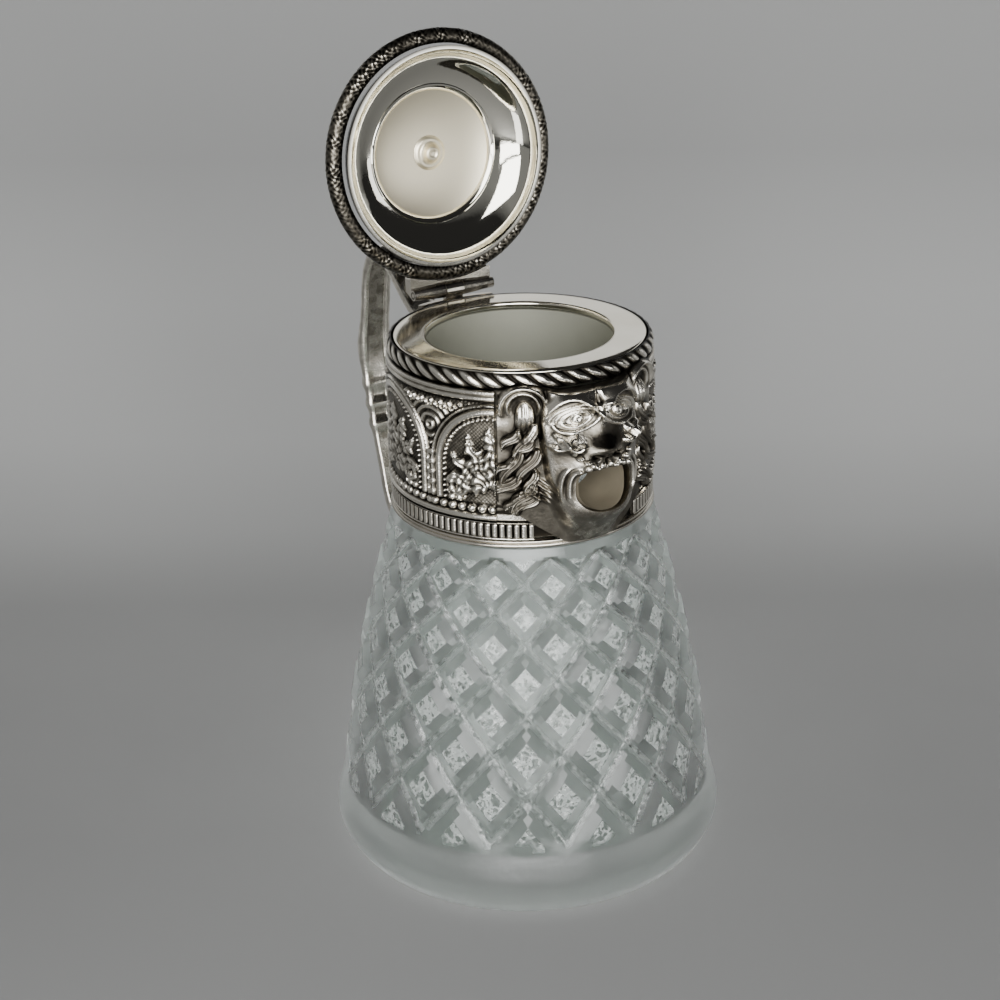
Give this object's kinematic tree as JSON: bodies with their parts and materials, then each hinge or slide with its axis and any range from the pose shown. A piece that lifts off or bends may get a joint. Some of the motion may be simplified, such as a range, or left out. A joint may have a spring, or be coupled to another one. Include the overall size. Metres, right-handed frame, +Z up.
{
  "type": "cut glass creamer",
  "caption": "Small lidded jug: flared clear glass body with diamond cuts, embossed silver collar, lion mask pouring spout, strap handle and hinged domed lid standing open.",
  "frame": {"origin": "centre of the flat base, on the surface that the jug stands on", "axes": "+Z up along the glass axis, -Y towards the spout, +Y towards the handle, X along the lid's hinge"},
  "size_m": [0.0912, 0.122, 0.1836],
  "materials": {
    "clear_glass": "clear pressed and cut lead glass",
    "antique_silver": "silver plate with dark patina in the recesses",
    "polished_silver": "smooth polished silver plate",
    "plaster": "matt plaster, hidden in the collar"
  },
  "bodies": {
    "jug": {"glass_body": "clear_glass", "neck_cement": "plaster", "collar_sleeve": "antique_silver", "gadroon_border": "antique_silver", "reeded_border": "antique_silver", "foot_bead": "antique_silver", "collar_rim": "polished_silver", "pouring_liner": "polished_silver", "spout_throat": "polished_silver", "lion_spout": "antique_silver", "handle": "antique_silver", "hinge_seat": "antique_silver", "hinge_pin": "antique_silver"},
    "lid": {"lid_hinge": "antique_silver", "lid_dome": "polished_silver", "lid_border": "antique_silver", "finial": "antique_silver", "finial_rivet": "polished_silver"}
  },
  "joints": [
    {"name": "lid_swing", "type": "hinge", "parent": "jug", "child": "lid", "pos_m": [0, 0.03065, 0.12458], "axis": [1, 0, 0], "range_deg": [0, 94]}
  ]
}
